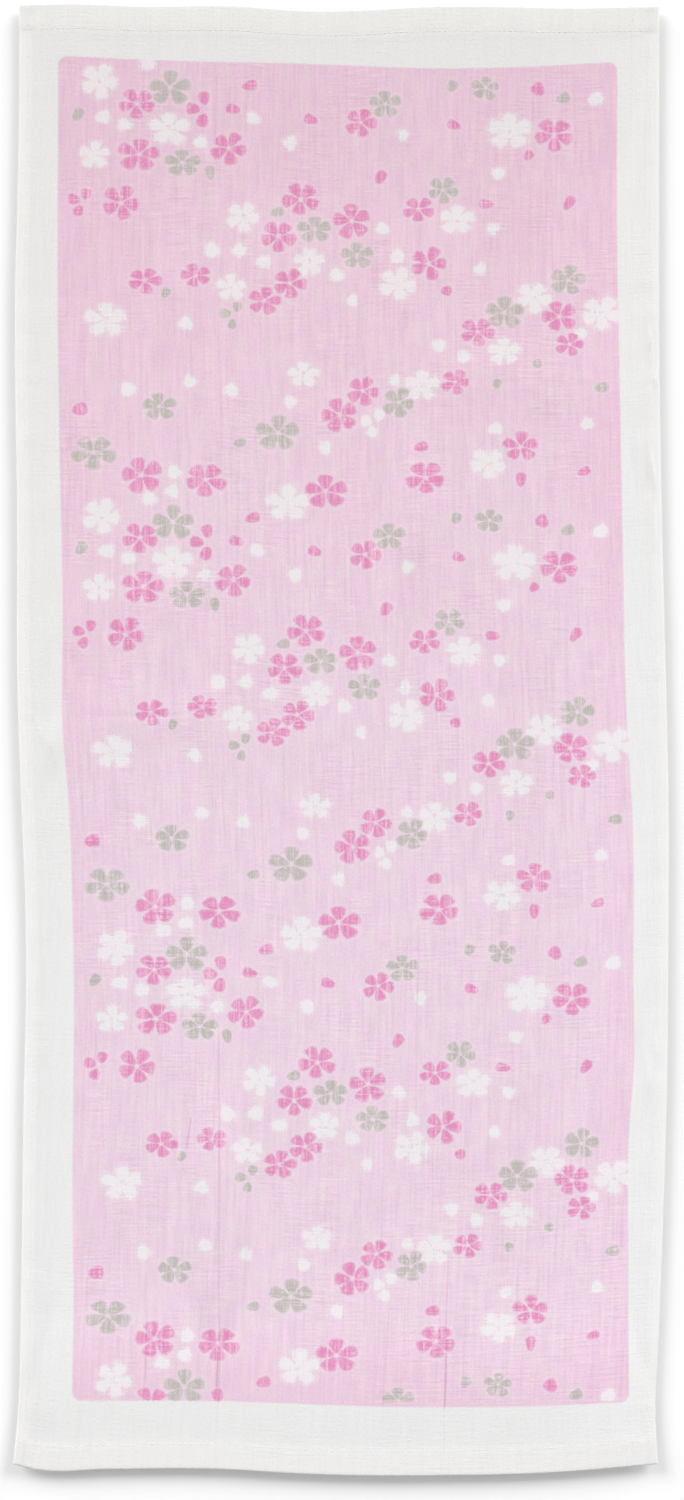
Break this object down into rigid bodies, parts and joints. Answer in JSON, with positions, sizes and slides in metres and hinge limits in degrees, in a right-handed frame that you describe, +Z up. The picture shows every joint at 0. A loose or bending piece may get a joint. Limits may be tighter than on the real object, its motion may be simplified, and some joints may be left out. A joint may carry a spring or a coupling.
{
  "type": "tenugui towel",
  "caption": "Japanese cotton gauze hand towel lying open and flat, with narrow turned hems on all sides and a cherry blossom print inside a plain white border.",
  "frame": {"origin": "middle of the towel's outline, on the surface that it lies on", "axes": "+Z up off the surface, +Y along the towel's length, towards the end at the top of the picture, +X across it to the right"},
  "size_m": [0.3581, 0.8047, 0.0061],
  "materials": {
    "printed_gauze": "soft matte woven cotton gauze, white with a pale pink printed ground and small blossoms"
  },
  "bodies": {
    "root": {"towel": "printed_gauze"}
  },
  "joints": []
}
